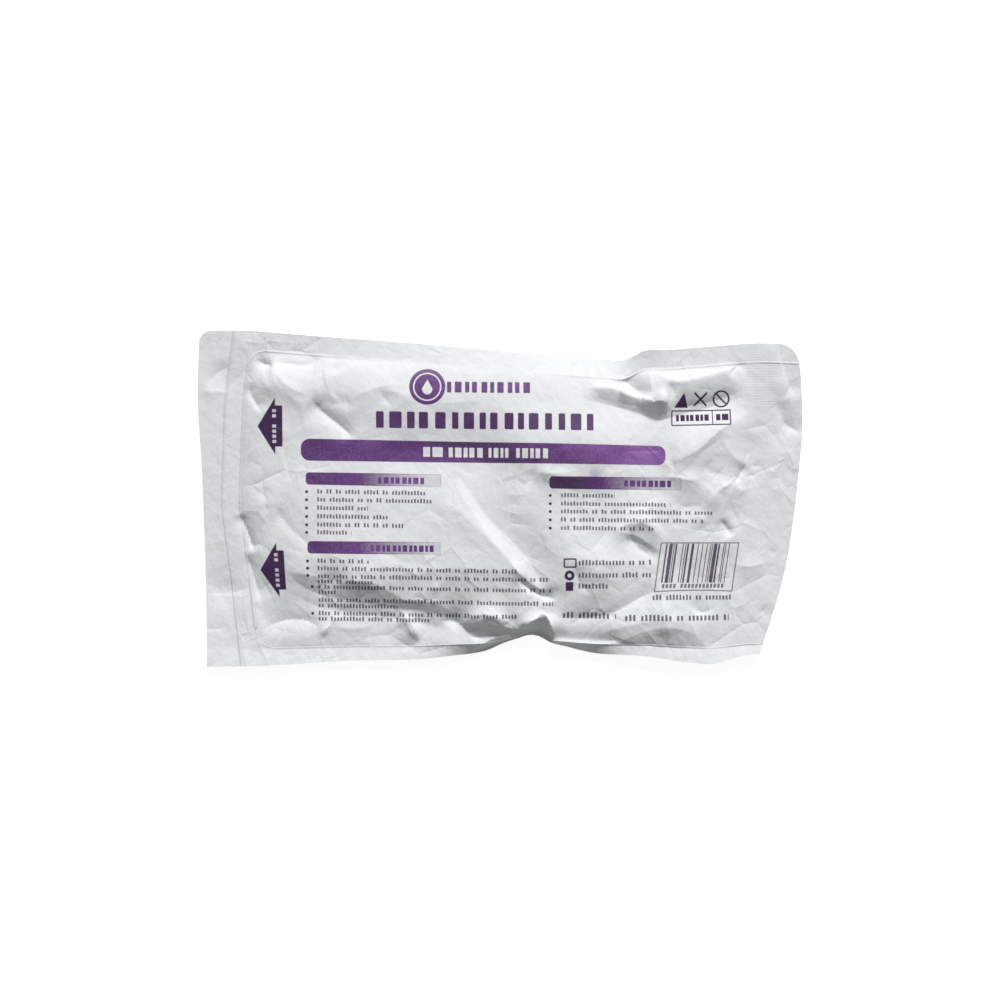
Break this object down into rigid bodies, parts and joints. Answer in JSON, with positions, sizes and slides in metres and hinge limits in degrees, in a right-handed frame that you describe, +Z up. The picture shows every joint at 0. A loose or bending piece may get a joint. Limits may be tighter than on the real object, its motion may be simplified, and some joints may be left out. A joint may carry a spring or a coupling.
{
  "type": "sealed infusion set pouch",
  "caption": "Sealed paper pouch that holds a coiled infusion set, lying printed side up, with a chevron peel seal at one end and a gathered lower edge.",
  "frame": {"origin": "middle of the bounding box, on the surface that the pouch lies on", "axes": "+X along the pouch from the peel-open end to the wide end seal, +Y across it towards the top of the print, +Z up out of the printed face"},
  "size_m": [0.243, 0.1352, 0.0153],
  "materials": {
    "medical_paper": "matt white medical paper, creased over the contents, printed in one purple ink"
  },
  "bodies": {
    "root": {"sealed_pouch": "medical_paper"}
  },
  "joints": []
}
